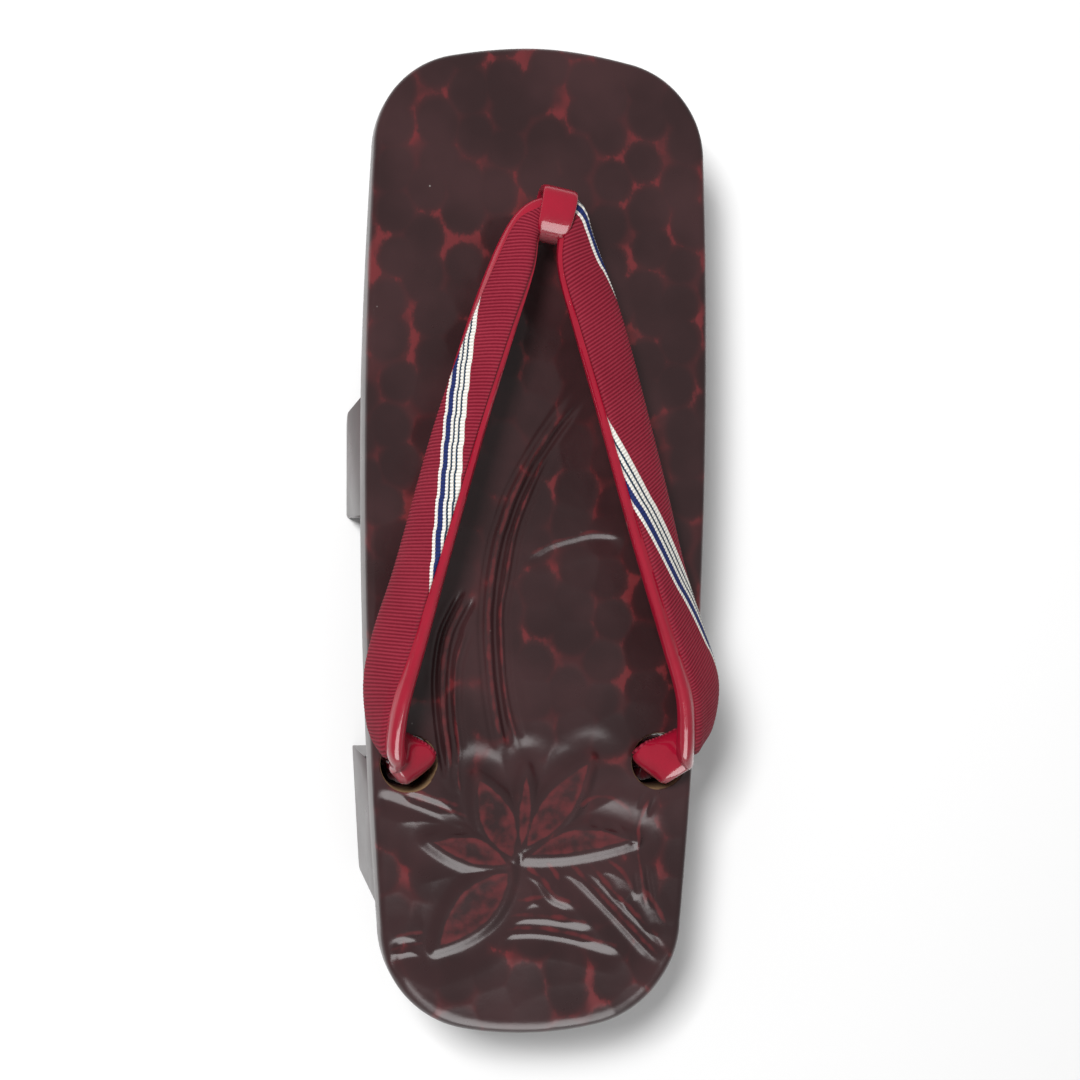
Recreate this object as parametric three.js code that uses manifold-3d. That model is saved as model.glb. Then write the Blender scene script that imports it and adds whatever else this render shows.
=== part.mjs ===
// A wooden clog for the right foot: a lacquered deck on a front tooth and a heel block, with a
// padded two-armed strap held by a toe thong. Millimetres. +X is the wearer's right, +Y the toe,
// +Z up, and the origin is on the floor under the middle of the clog.

import * as THREE from 'three';
import { mergeVertices } from 'three/addons/utils/BufferGeometryUtils.js';
import Module from 'manifold-3d';

const wasm = await Module();
wasm.setup();

// Driving sizes
const LENGTH = 235;
const DECK_TOP = 50; // height of the walking surface
const GAP = 0.3; // between pieces that touch
const WELD = 1e-3; // points nearer than this are one point
const CLEAR = 2; // how far a cutting shape reaches past what it cuts
const SUPPORT_INSET = 0.5; // the supports stand this far inside the deck's edge
const EDGE_ROUND = 2; // rounding along the deck's top edge

// The deck seen from above. The sides bow out to WAIST between the corner rounds, and the ends are
// crowned: crown is how far out from the middle line an end's curve is pulled.
const TOE_CORNER = { x: 17, y: 92.4, radius: 23, crown: 9.6 };
const HEEL_CORNER = { x: 11.2, y: -91.2, radius: 25.2, crown: 8.7 };
const WAIST = { x: 44, y: 5 }; // control point of the side curve
const FULL_WIDTH = 2 * (WAIST.x + 1); // wider than the deck is anywhere
const CORNER_SWEEP = 78; // degrees of each corner round
const CORNER_STEPS = 9;
const SIDE_STEPS = 8;
const CROWN_STEPS = 4;

// The deck seen from the side: its thickness, which thins towards toe and heel.
const DECK_THICKNESS = [
  { y: 117.5, thickness: 6.0 },
  { y: 104, thickness: 6.9 },
  { y: 78, thickness: 8.7 },
  { y: 52, thickness: 11.2 },
  { y: 36, thickness: 12.5 },
  { y: -60, thickness: 12.5 },
  { y: -88, thickness: 10.6 },
  { y: -104, thickness: 8.6 },
  { y: -117.5, thickness: 6.6 },
];
const UNDERSIDE_STEP = 6;

// Supports, as side profiles: where each face meets the floor and the deck.
const TOOTH = {
  rearFoot: 5.4,
  rearHead: 5.4,
  frontFoot: 32.8,
  frontHead: 35.2,
  rearRound: 1,
  frontRound: 4,
};
const HEEL = {
  rearFoot: -84.9,
  rearHead: -87.6,
  frontFoot: -53,
  frontHead: -53,
  rearRound: 3,
  frontRound: 1,
};
const HEAD_STEPS = 4;

// Cord holes through the deck.
const REAR_HOLE = { x: 30.3, y: -52.4, radius: 6.6 };
const TOE_HOLE = { x: 0.9, y: 76, radius: 4.6 };
const HOLE_SIDES = 28;

// The strap, one band from rear hole to rear hole. One row for each section of an arm, from the
// toe thong back: left and right are the arms' distances from the middle line, lift the height of
// the band's middle above the deck, aim the compass direction of its upper edge seen from above
// (0 is inwards, 90 the toe) and rise that edge's slope on the left and the right arm.
const STRAP_SECTIONS = [
  { y: 76.4, left: 2.8, right: 3.5, lift: 14.8, width: 6.7, thick: 5.4, aim: -88, rise: [8, 11] },
  { y: 72.0, left: 7.1, right: 4.7, lift: 15.4, width: 8.1, thick: 5.2, aim: -50, rise: [32, 26] },
  { y: 63.7, left: 9.9, right: 6.0, lift: 16.2, width: 11.5, thick: 5.0, aim: -26, rise: [39, 21] },
  { y: 50.1, left: 14.5, right: 10.3, lift: 16.8, width: 13.4, thick: 5.0, aim: -19, rise: [46, 25] },
  { y: 31.0, left: 20.3, right: 15.9, lift: 17.0, width: 14.1, thick: 5.0, aim: -17, rise: [49, 31] },
  { y: 11.0, left: 25.6, right: 21.6, lift: 16.6, width: 14.5, thick: 5.0, aim: -16, rise: [52, 35] },
  { y: -8.0, left: 30.5, right: 27.2, lift: 15.4, width: 14.8, thick: 5.0, aim: -14, rise: [53, 42] },
  { y: -23.0, left: 34.6, right: 32.5, lift: 13.8, width: 15.8, thick: 5.0, aim: -9, rise: [52, 43] },
  { y: -34.7, left: 37.0, right: 36.3, lift: 12.0, width: 16.8, thick: 5.0, aim: 2, rise: [63, 46] },
  { y: -46.1, left: 36.6, right: 35.9, lift: 9.8, width: 13.6, thick: 5.0, aim: 25, rise: [77, 58] },
  { y: -48.6, left: 34.0, right: 34.6, lift: 6.4, width: 11.0, thick: 4.8, aim: 207, rise: [52, 57] },
  { y: -52.7, left: 28.6, right: 27.6, lift: 3.6, width: 10.4, thick: 4.4, aim: 216, rise: [14, 26] },
  { y: -52.4, left: 29.6, right: 29.3, lift: -3.2, width: 8.4, thick: 4.2, aim: 220, rise: [0, 0] },
  { y: -52.4, left: 30.3, right: 30.3, lift: -12.2, width: 8.4, thick: 5.0, aim: 221, rise: [0, 0] },
];
const STRAP_STATIONS = 80;
const STRAP_SIDES = 14;
const BAND_SQUARENESS = 0.72; // 1 gives an oval section, less a flatter band

// The toe thong: a loop over the strap's junction on a post that goes down the toe hole.
const THONG = { wide: 8.2, wall: 2.0, postDeep: 6.4, turn: -9, plugRadius: 4.0, plugHigh: 2.0 };
const TUNNEL = { x: 0.3, y: 75.6, lift: 14.8, halfDeep: 5.3, halfHigh: 3.9 };
const SHOULDER = -40; // degrees at which the loop's oval turns into the post
const NECK = 0.4; // how far below the oval the post begins
const LOOP_STEPS = 28;

// Knots in the cord ends, under the deck.
const TOE_KNOT = { radius: 5.6, high: 7.6, waist: 0.82 };
const HEEL_KNOT = { radius: 6.6, high: 8.4, waist: 0.82 };
const KNOT_NOTCH = 1.4; // room round a heel knot, cut into the heel block
const KNOT_SIDES = 16;
const KNOT_STEPS = 8;

// ---- small tools ----

// A value read off a table's column at y, smoothly and without overshoot.
function tableValue(rows, column, y) {
  const ordered = [...rows].sort((a, b) => a.y - b.y);
  if (y <= ordered[0].y) return ordered[0][column];
  const last = ordered.length - 1;
  if (y >= ordered[last].y) return ordered[last][column];
  const i = ordered.findIndex((row) => row.y > y) - 1;
  const slope = (k) => (ordered[k + 1][column] - ordered[k][column]) / (ordered[k + 1].y - ordered[k].y);
  const tangent = (k) => {
    if (k === 0 || k === last) return 0;
    const before = slope(k - 1);
    const after = slope(k);
    return before * after <= 0 ? 0 : (2 * before * after) / (before + after);
  };
  const span = ordered[i + 1].y - ordered[i].y;
  const t = (y - ordered[i].y) / span;
  const bend = span * (tangent(i) * (1 - t) ** 2 * t - tangent(i + 1) * t ** 2 * (1 - t));
  const ease = t * t * (3 - 2 * t);
  return ordered[i][column] * (1 - ease) + ordered[i + 1][column] * ease + bend;
}

function solid(geometry) {
  const bare = geometry.clone();
  bare.deleteAttribute('normal');
  bare.deleteAttribute('uv');
  const merged = mergeVertices(bare, WELD);
  return new wasm.Manifold(
    new wasm.Mesh({
      numProp: 3,
      vertProperties: new Float32Array(merged.attributes.position.array),
      triVerts: new Uint32Array(merged.index.array),
    }),
  );
}

function geometryOf(body) {
  const mesh = body.getMesh();
  const geometry = new THREE.BufferGeometry();
  geometry.setAttribute('position', new THREE.Float32BufferAttribute(mesh.vertProperties, 3));
  geometry.setIndex(new THREE.Uint32BufferAttribute(mesh.triVerts, 1));
  geometry.computeVertexNormals();
  return geometry;
}

// A solid stretched over rings of points, closed at both ends.
function loft(rings) {
  const sides = rings[0].length;
  const middle = (ring) => ring.reduce((sum, p) => sum.add(p), new THREE.Vector3()).divideScalar(sides);
  const points = [...rings.flat(), middle(rings[0]), middle(rings.at(-1))];
  const startCap = rings.length * sides;
  const endRing = (rings.length - 1) * sides;
  const index = [];
  for (let k = 0; k < sides; k++) {
    const next = (k + 1) % sides;
    for (let r = 0; r < rings.length - 1; r++) {
      const a = r * sides;
      const b = a + sides;
      index.push(a + k, a + next, b + next, a + k, b + next, b + k);
    }
    index.push(startCap, next, k, startCap + 1, endRing + k, endRing + next);
  }
  const geometry = new THREE.BufferGeometry().setFromPoints(points);
  geometry.setIndex(index);
  return geometry;
}

// A side profile, drawn in Y and Z, made into a solid across the full width.
function acrossWidth(shape, wide) {
  const geometry = new THREE.ExtrudeGeometry(shape, { depth: wide, bevelEnabled: false });
  geometry.translate(0, 0, -wide / 2);
  const turn = new THREE.Matrix4().makeBasis(
    new THREE.Vector3(0, 1, 0),
    new THREE.Vector3(0, 0, 1),
    new THREE.Vector3(1, 0, 0),
  );
  geometry.applyMatrix4(turn);
  return geometry;
}

function upright(radius, low, high, x, y, sides) {
  const geometry = new THREE.CylinderGeometry(radius, radius, high - low, sides);
  geometry.rotateX(Math.PI / 2);
  geometry.translate(x, y, (low + high) / 2);
  return geometry;
}

// ---- deck ----

function cornerPoint(corner, inset, degrees) {
  const angle = THREE.MathUtils.degToRad(degrees);
  const reach = corner.radius - inset;
  return new THREE.Vector2(corner.x + reach * Math.cos(angle), corner.y + reach * Math.sin(angle));
}

// An end's curve from the middle line to its corner round. end is 1 at the toe, -1 at the heel.
function crownPoints(corner, inset, end) {
  const tip = end * (LENGTH / 2 - inset);
  const curve = new THREE.QuadraticBezierCurve(
    new THREE.Vector2(0, tip),
    new THREE.Vector2(corner.crown, tip),
    cornerPoint(corner, inset, end * CORNER_SWEEP),
  );
  return curve.getPoints(CROWN_STEPS).slice(0, -1);
}

// The plan outline, drawn in by inset all round.
function deckOutline(inset) {
  const right = crownPoints(TOE_CORNER, inset, 1);
  for (let k = 0; k <= CORNER_STEPS; k++) {
    right.push(cornerPoint(TOE_CORNER, inset, CORNER_SWEEP * (1 - k / CORNER_STEPS)));
  }
  const side = new THREE.QuadraticBezierCurve(
    cornerPoint(TOE_CORNER, inset, 0),
    new THREE.Vector2(WAIST.x - inset, WAIST.y),
    cornerPoint(HEEL_CORNER, inset, 0),
  );
  right.push(...side.getPoints(SIDE_STEPS).slice(1, -1));
  for (let k = 0; k <= CORNER_STEPS; k++) {
    right.push(cornerPoint(HEEL_CORNER, inset, (-CORNER_SWEEP * k) / CORNER_STEPS));
  }
  right.push(...crownPoints(HEEL_CORNER, inset, -1).reverse());
  const left = right.slice(1, -1).reverse().map((p) => new THREE.Vector2(-p.x, p.y));
  return new THREE.Shape([...right, ...left]);
}

function undersideAt(y) {
  return DECK_TOP - tableValue(DECK_THICKNESS, 'thickness', y);
}

// Everything inside the plan outline from the floor up, with a rounded upper edge.
function planBlank() {
  const geometry = new THREE.ExtrudeGeometry(deckOutline(0), {
    depth: DECK_TOP - EDGE_ROUND,
    bevelEnabled: true,
    bevelThickness: EDGE_ROUND,
    bevelSize: EDGE_ROUND,
    bevelOffset: -EDGE_ROUND,
    bevelSegments: 3,
  });
  return solid(geometry);
}

function deckSideProfile() {
  const half = LENGTH / 2 + CLEAR;
  const top = DECK_TOP + CLEAR;
  const shape = new THREE.Shape();
  shape.moveTo(-half, top);
  shape.lineTo(-half, undersideAt(-half));
  for (let y = -LENGTH / 2; y <= LENGTH / 2; y += UNDERSIDE_STEP) {
    shape.lineTo(y, undersideAt(y));
  }
  shape.lineTo(half, undersideAt(half));
  shape.lineTo(half, top);
  return shape;
}

function deckHoles() {
  const holes = [-1, 1].map((side) =>
    upright(REAR_HOLE.radius, 0, DECK_TOP + CLEAR, side * REAR_HOLE.x, REAR_HOLE.y, HOLE_SIDES),
  );
  holes.push(upright(TOE_HOLE.radius, 0, DECK_TOP + CLEAR, TOE_HOLE.x, TOE_HOLE.y, HOLE_SIDES));
  return holes.map(solid).reduce((all, hole) => all.add(hole));
}

function deckBody() {
  const profile = solid(acrossWidth(deckSideProfile(), FULL_WIDTH));
  return planBlank().intersect(profile).subtract(deckHoles());
}

// ---- supports ----

// A support's side profile: flat foot with rounded corners, head following the underside.
function supportProfile(size) {
  const shape = new THREE.Shape();
  shape.moveTo(size.rearFoot + size.rearRound, 0);
  shape.lineTo(size.frontFoot - size.frontRound, 0);
  shape.quadraticCurveTo(size.frontFoot, 0, size.frontFoot, size.frontRound);
  for (let k = 0; k <= HEAD_STEPS; k++) {
    const y = size.frontHead + ((size.rearHead - size.frontHead) * k) / HEAD_STEPS;
    shape.lineTo(y, undersideAt(y) - GAP);
  }
  shape.lineTo(size.rearFoot, size.rearRound);
  shape.quadraticCurveTo(size.rearFoot, 0, size.rearFoot + size.rearRound, 0);
  return shape;
}

function supportBody(size) {
  const plan = new THREE.ExtrudeGeometry(deckOutline(SUPPORT_INSET), {
    depth: DECK_TOP,
    bevelEnabled: false,
  });
  return solid(acrossWidth(supportProfile(size), FULL_WIDTH)).intersect(solid(plan));
}

function heelBody() {
  const reach = HEEL_KNOT.radius + KNOT_NOTCH;
  const low = undersideAt(REAR_HOLE.y) - HEEL_KNOT.high - KNOT_NOTCH - GAP;
  const notches = [-1, 1].map((side) =>
    solid(upright(reach, low, DECK_TOP, side * REAR_HOLE.x, REAR_HOLE.y, HOLE_SIDES)),
  );
  return notches.reduce((body, notch) => body.subtract(notch), supportBody(HEEL));
}

// ---- strap ----

function upperEdge(row, side) {
  const aim = THREE.MathUtils.degToRad(row.aim);
  const rise = THREE.MathUtils.degToRad(row.rise[side < 0 ? 0 : 1]);
  return new THREE.Vector3(
    -side * Math.cos(rise) * Math.cos(aim),
    Math.cos(rise) * Math.sin(aim),
    Math.sin(rise),
  );
}

function sectionOf(row, side) {
  return {
    middle: new THREE.Vector3(side * (side < 0 ? row.left : row.right), row.y, DECK_TOP + row.lift),
    edge: upperEdge(row, side),
    size: new THREE.Vector3(row.width, row.thick, 0),
  };
}

// A number's root that keeps its sign, which squares up an oval.
function squared(value) {
  return Math.sign(value) * Math.abs(value) ** BAND_SQUARENESS;
}

// The padded band, lofted in one sweep up the left arm, under the thong and down the right arm.
// spare makes it that much stouter all round.
function strapGeometry(spare) {
  const left = [...STRAP_SECTIONS].reverse().map((row) => sectionOf(row, -1));
  const sections = [...left, ...STRAP_SECTIONS.map((row) => sectionOf(row, 1))];
  const middle = new THREE.CatmullRomCurve3(sections.map((section) => section.middle));
  const edge = new THREE.CatmullRomCurve3(sections.map((section) => section.edge));
  const size = new THREE.CatmullRomCurve3(sections.map((section) => section.size));
  const rings = [];
  for (let station = 0; station <= STRAP_STATIONS; station++) {
    const t = station / STRAP_STATIONS;
    const along = middle.getTangent(t);
    const across = edge.getPoint(t);
    across.addScaledVector(along, -across.dot(along)).normalize();
    const out = new THREE.Vector3().crossVectors(along, across);
    const { x: width, y: thick } = size.getPoint(t);
    const ring = [];
    for (let k = 0; k < STRAP_SIDES; k++) {
      const angle = (2 * Math.PI * k) / STRAP_SIDES;
      const point = middle.getPoint(t);
      point.addScaledVector(across, squared(Math.cos(angle)) * (width / 2 + spare));
      point.addScaledVector(out, squared(Math.sin(angle)) * (thick / 2 + spare));
      ring.push(point);
    }
    rings.push(ring);
  }
  return loft(rings);
}

// ---- toe thong ----

// The loop's outline from the side: an oval round the tunnel drawn out downwards into the post.
function loopShape() {
  const outer = [];
  const deep = TUNNEL.halfDeep + THONG.wall;
  const high = TUNNEL.halfHigh + THONG.wall;
  const shoulder = THREE.MathUtils.degToRad(SHOULDER);
  for (let k = 0; k <= LOOP_STEPS; k++) {
    const angle = shoulder + ((Math.PI - 2 * shoulder) * k) / LOOP_STEPS;
    outer.push(new THREE.Vector2(deep * Math.cos(angle), TUNNEL.lift + high * Math.sin(angle)));
  }
  const post = THONG.postDeep / 2;
  outer.push(new THREE.Vector2(-post, TUNNEL.lift - high - NECK));
  outer.push(new THREE.Vector2(-post, GAP));
  outer.push(new THREE.Vector2(post, GAP));
  outer.push(new THREE.Vector2(post, TUNNEL.lift - high - NECK));
  const shape = new THREE.Shape(outer);
  const inner = [];
  for (let k = 0; k < LOOP_STEPS; k++) {
    const angle = (2 * Math.PI * k) / LOOP_STEPS;
    inner.push(
      new THREE.Vector2(
        TUNNEL.halfDeep * Math.cos(angle),
        TUNNEL.lift + TUNNEL.halfHigh * Math.sin(angle),
      ),
    );
  }
  shape.holes.push(new THREE.Path(inner));
  return shape;
}

function thongBody() {
  const geometry = acrossWidth(loopShape(), THONG.wide);
  geometry.rotateZ(THREE.MathUtils.degToRad(THONG.turn));
  geometry.translate(TUNNEL.x, TUNNEL.y, DECK_TOP);
  const low = undersideAt(TOE_HOLE.y);
  const plug = upright(THONG.plugRadius, low, DECK_TOP + THONG.plugHigh, TOE_HOLE.x, TOE_HOLE.y, HOLE_SIDES);
  return solid(geometry).subtract(solid(strapGeometry(GAP))).add(solid(plug));
}

// ---- knots ----

function knotGeometry(size, x, y) {
  const top = undersideAt(y) - GAP;
  const profile = [new THREE.Vector2(0, -size.high / 2)];
  for (let k = 1; k < KNOT_STEPS; k++) {
    const angle = -Math.PI / 2 + (Math.PI * k) / KNOT_STEPS;
    const reach = size.radius * Math.cos(angle) ** size.waist;
    profile.push(new THREE.Vector2(reach, (size.high / 2) * Math.sin(angle)));
  }
  profile.push(new THREE.Vector2(0, size.high / 2));
  const geometry = new THREE.LatheGeometry(profile, KNOT_SIDES);
  geometry.rotateX(Math.PI / 2);
  geometry.translate(x, y, top - size.high / 2);
  return geometryOf(solid(geometry));
}

// ---- the clog ----

const lacquer = () => new THREE.MeshStandardMaterial({ color: 0x38282a, roughness: 0.3 });
const cloth = () => new THREE.MeshStandardMaterial({ color: 0x9a2740, roughness: 0.8 });
const patent = () => new THREE.MeshStandardMaterial({ color: 0xc01430, roughness: 0.15 });
const cord = () => new THREE.MeshStandardMaterial({ color: 0x5c1522, roughness: 0.9 });

const clog = new THREE.Group();

function addPiece(name, geometry, material) {
  const mesh = new THREE.Mesh(geometry, material);
  mesh.name = name;
  clog.add(mesh);
}

addPiece('deck', geometryOf(deckBody()), lacquer());
addPiece('front_tooth', geometryOf(supportBody(TOOTH)), lacquer());
addPiece('heel_block', geometryOf(heelBody()), lacquer());
addPiece('strap', strapGeometry(0), cloth());
addPiece('toe_thong', geometryOf(thongBody()), patent());
addPiece('toe_knot', knotGeometry(TOE_KNOT, TOE_HOLE.x, TOE_HOLE.y), cord());
addPiece('heel_knot_left', knotGeometry(HEEL_KNOT, -REAR_HOLE.x, REAR_HOLE.y), cord());
addPiece('heel_knot_right', knotGeometry(HEEL_KNOT, REAR_HOLE.x, REAR_HOLE.y), cord());

export default clog;
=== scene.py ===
"""A wooden clog for the right foot: a carved, lacquered deck on two supports, with a padded strap.

The tables and sizes are in millimetres, and the meshes are made in metres. +X is the wearer's right,
+Y the toe and +Z up, with the origin on the floor under the middle of the clog.
"""

import math

import bmesh
import bpy
import numpy as np
from bpy.props import FloatProperty, FloatVectorProperty, PointerProperty
from bpy.types import Operator, Panel, PropertyGroup
from mathutils import Matrix, Vector


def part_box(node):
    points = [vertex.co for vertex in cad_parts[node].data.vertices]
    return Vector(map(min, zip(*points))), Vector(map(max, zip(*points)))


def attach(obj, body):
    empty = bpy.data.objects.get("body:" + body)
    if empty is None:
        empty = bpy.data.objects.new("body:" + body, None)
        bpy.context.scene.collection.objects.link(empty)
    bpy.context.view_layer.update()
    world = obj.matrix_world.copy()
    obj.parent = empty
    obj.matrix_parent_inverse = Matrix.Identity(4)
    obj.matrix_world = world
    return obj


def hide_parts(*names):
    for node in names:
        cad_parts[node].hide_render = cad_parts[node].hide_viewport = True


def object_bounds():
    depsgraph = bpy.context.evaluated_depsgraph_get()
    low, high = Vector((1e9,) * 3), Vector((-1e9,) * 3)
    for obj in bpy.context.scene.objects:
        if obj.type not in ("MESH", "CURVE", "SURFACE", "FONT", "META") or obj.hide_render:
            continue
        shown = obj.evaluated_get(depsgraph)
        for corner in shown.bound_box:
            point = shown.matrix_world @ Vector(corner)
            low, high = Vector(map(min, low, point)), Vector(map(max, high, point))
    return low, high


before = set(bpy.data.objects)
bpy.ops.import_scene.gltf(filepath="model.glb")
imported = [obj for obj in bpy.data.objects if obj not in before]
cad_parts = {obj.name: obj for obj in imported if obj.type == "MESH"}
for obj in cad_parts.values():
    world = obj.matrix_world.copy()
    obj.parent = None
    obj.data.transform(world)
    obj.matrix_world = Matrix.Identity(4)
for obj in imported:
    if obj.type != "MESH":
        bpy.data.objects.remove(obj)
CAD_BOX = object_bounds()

bl_info = {
    "name": "Carved Clog",
    "version": (1, 0, 0),
    "blender": (4, 5, 0),
    "location": "3D View > Sidebar > Clog",
    "description": "A lacquered wooden clog with a carved deck and a padded two-armed strap",
    "category": "Add Mesh",
}

MM = 0.001
BODY = "root"


def table(columns, rows):
    """The rows of a table as dictionaries, keyed by the columns' names."""
    return [dict(zip(columns.split(), row)) for row in rows]


# ---- the clog's driving sizes ----

LENGTH = (CAD_BOX[1].y - CAD_BOX[0].y) / MM
DECK_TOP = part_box("deck")[1].z / MM

TOE_CORNER = {"x": 17, "y": 92.4, "radius": 23, "crown": 9.6}
HEEL_CORNER = {"x": 11.2, "y": -91.2, "radius": 25.2, "crown": 8.7}
WAIST = (44, 5)  # control point of the side curve
CORNER_SWEEP = 78  # degrees of each corner round

EDGE_ROUND = 2.0  # rounding along the deck's top edge
HEEL_EDGE_ROUND = 3.4  # and round the heel end, where it is worn softer
HEEL_WEAR = (-88, -110)  # where that softer edge begins and is complete
LOWER_ROUND = 0.8  # rounding along the deck's lower edge

DECK_THICKNESS = table("y thickness", [
    (-117.5, 6.6), (-104, 8.6), (-88, 10.6), (-60, 12.5), (36, 12.5), (52, 11.2), (78, 8.7), (104, 6.9),
    (117.5, 6.0),
])

REAR_HOLE = {"x": 30.3, "y": -52.4, "radius": 6.6}
TOE_HOLE = {"x": 0.9, "y": 76.0, "radius": 4.6}

# The strap, one row for each section of an arm from the toe thong back: left and right are the
# arms' distances from the middle line, lift the height of the band's middle above the deck, aim the
# compass direction of its upper edge (0 is inwards, 90 the toe) and rise_left and rise_right that
# edge's slope. The rolls are how much of the band the patent roll takes along the upper edge, and the
# wraps how far round the lower edge the cloth goes, in degrees.
STRAP_SECTIONS = table(
    "y left right lift width thick aim rise_left rise_right roll_left roll_right wrap_left wrap_right",
    [
        (76.4, 2.8, 3.5, 14.8, 6.7, 5.4, -88, 8, 11, 0, 0.1, -78, 0),
        (72.0, 7.1, 4.7, 15.4, 8.1, 5.2, -50, 32, 26, 0, 0.1, -74, -10),
        (63.7, 9.9, 6.0, 16.2, 11.5, 5.0, -26, 39, 21, 0, 0.15, -66, 0),
        (50.1, 14.5, 10.3, 16.8, 13.4, 5.0, -19, 46, 25, 0.05, 0.3, -56, 20),
        (31.0, 20.3, 15.9, 17.0, 14.1, 5.0, -17, 49, 31, 0.15, 0.5, -36, 30),
        (11.0, 25.6, 21.6, 16.6, 14.5, 5.0, -16, 52, 35, 0.4, 0.8, -8, 30),
        (-8.0, 30.5, 27.2, 15.4, 14.8, 5.0, -14, 53, 42, 0.9, 1.3, 18, 30),
        (-23.0, 34.6, 32.5, 13.8, 15.8, 5.0, -9, 52, 43, 1.7, 2, 30, 30),
        (-34.7, 37.0, 36.3, 12.0, 16.8, 5.0, 2, 63, 46, 2.8, 3, 30, 30),
        (-46.1, 36.6, 35.9, 9.8, 13.6, 5.0, 25, 77, 58, 3.6, 3.8, 30, 30),
        (-48.6, 34.0, 34.6, 6.4, 11.0, 4.8, 207, 52, 57, 3.8, 3.9, 30, 30),
        (-52.7, 28.6, 27.6, 3.6, 10.4, 4.4, 216, 14, 26, 3.4, 3.4, 20, 20),
        (-52.4, 29.6, 29.3, -3.2, 8.4, 4.2, 220, 0, 0, 3.0, 3.0, 10, 10),
        (-52.4, 30.3, 30.3, -12.2, 8.4, 5.0, 221, 0, 0, 3, 3, 10, 10),
    ],
)
BEND_EASE = 1.3  # how far along the band its sharp turns are eased
BAND_SQUARENESS = 0.72  # 1 gives an oval section, less a flatter band


# ---- properties: what a user would change ----


def length_property(name, description, millimetres):
    return FloatProperty(
        name=name, description=description, default=millimetres * MM, unit="LENGTH", precision=5
    )


def colour_property(name, description, colour):
    return FloatVectorProperty(
        name=name, description=description, default=colour, size=3, subtype="COLOR", min=0.0, max=1.0
    )


class ClogLacquer(PropertyGroup):
    """Sizes and colours of the lacquered wood."""

    top_coat: colour_property("Top coat", "Dark lacquer on the outside", (0.0235, 0.0092, 0.0100))
    under_coat: colour_property("Under coat", "Red lacquer under the top coat", (0.13, 0.018, 0.021))
    raw_wood: colour_property("Raw wood", "Bare wood at the rims of the cord holes", (0.30, 0.19, 0.10))
    gouge_pitch: length_property("Gouge pitch", "Distance between neighbouring gouge marks", 9.2)
    gouge_depth: length_property("Gouge depth", "Depth of a gouge mark at its middle", 0.28)
    carving_depth: length_property("Carving depth", "Depth of the ground beside a petal", 1.2)


class ClogStrap(PropertyGroup):
    """Sizes and colours of the strap and the toe thong."""

    crimson: colour_property("Crimson", "Ground colour of the ribbed cloth", (0.21, 0.0073, 0.023))
    white: colour_property("White", "Light stripes of the cloth", (0.80, 0.78, 0.72))
    navy: colour_property("Navy", "Broad dark stripe of the cloth", (0.018, 0.030, 0.13))
    slate: colour_property("Slate", "Fine dark stripes of the cloth", (0.02, 0.05, 0.085))
    patent: colour_property("Patent", "Glossy red of the lining and the toe thong", (0.32, 0.003, 0.022))
    cord: colour_property("Cord", "Cord of the knots under the deck", (0.16, 0.012, 0.02))
    rib_pitch: length_property("Rib pitch", "Distance between the ribs of the cloth", 0.8)
    rib_height: length_property("Rib height", "How far a rib stands above the cloth", 0.09)
    stripe_repeat: length_property("Stripe repeat", "Distance between two groups of stripes", 26.0)


class ClogStage(PropertyGroup):
    """The floor, the light and the camera."""

    floor: colour_property("Floor", "Colour of the plain floor", (0.86, 0.86, 0.86))
    daylight: FloatProperty(name="Daylight", description="Strength of the even light all round", default=0.40)
    camera_height: length_property("Camera height", "Height of the camera above the floor", 550)
    lens: FloatProperty(name="Lens", description="Focal length", default=71.4, subtype="DISTANCE_CAMERA")
    roll: FloatProperty(
        name="Roll", description="Turn of the picture", default=math.radians(0.65), subtype="ANGLE"
    )


# ---- small tools ----


def smooth(value, low, high):
    """0 below low, 1 above high and an even curve between."""
    t = np.clip((value - low) / (high - low), 0, 1)
    return t * t * (3 - 2 * t)


def column(rows, name):
    return np.array([row[name] for row in rows], float)


def table_value(rows, name, y):
    """A column of a table ordered by y, read smoothly and without overshoot."""
    ys, values = column(rows, "y"), column(rows, name)
    slopes = np.diff(values) / np.diff(ys)
    before, after = slopes[:-1], slopes[1:]
    same_way = before * after > 0
    inner = np.where(same_way, 2 * before * after / np.where(same_way, before + after, 1), 0)
    tangents = np.concatenate([[0], inner, [0]])
    y = np.clip(y, ys[0], ys[-1])
    k = np.clip(np.searchsorted(ys, y, side="right") - 1, 0, len(ys) - 2)
    span = ys[k + 1] - ys[k]
    t = (y - ys[k]) / span
    bend = span * (tangents[k] * (1 - t) ** 2 * t - tangents[k + 1] * t**2 * (1 - t))
    ease = t * t * (3 - 2 * t)
    return values[k] * (1 - ease) + values[k + 1] * ease + bend


def spline(points, t):
    """A smooth curve through the points, read at t, which counts points from 0."""
    points = np.asarray(points, float)
    last = len(points) - 1
    k = np.clip(np.floor(t).astype(int), 0, last - 1)
    f = (t - k)[:, None]
    p0, p1 = points[np.maximum(k - 1, 0)], points[k]
    p2, p3 = points[k + 1], points[np.minimum(k + 2, last)]
    return 0.5 * (
        2 * p1 + (p2 - p0) * f + (2 * p0 - 5 * p1 + 4 * p2 - p3) * f**2 + (3 * p1 - p0 - 3 * p2 + p3) * f**3
    )


def path_lengths(points):
    steps = np.linalg.norm(np.diff(points, axis=0), axis=1)
    return np.concatenate([[0], np.cumsum(steps)])


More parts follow.
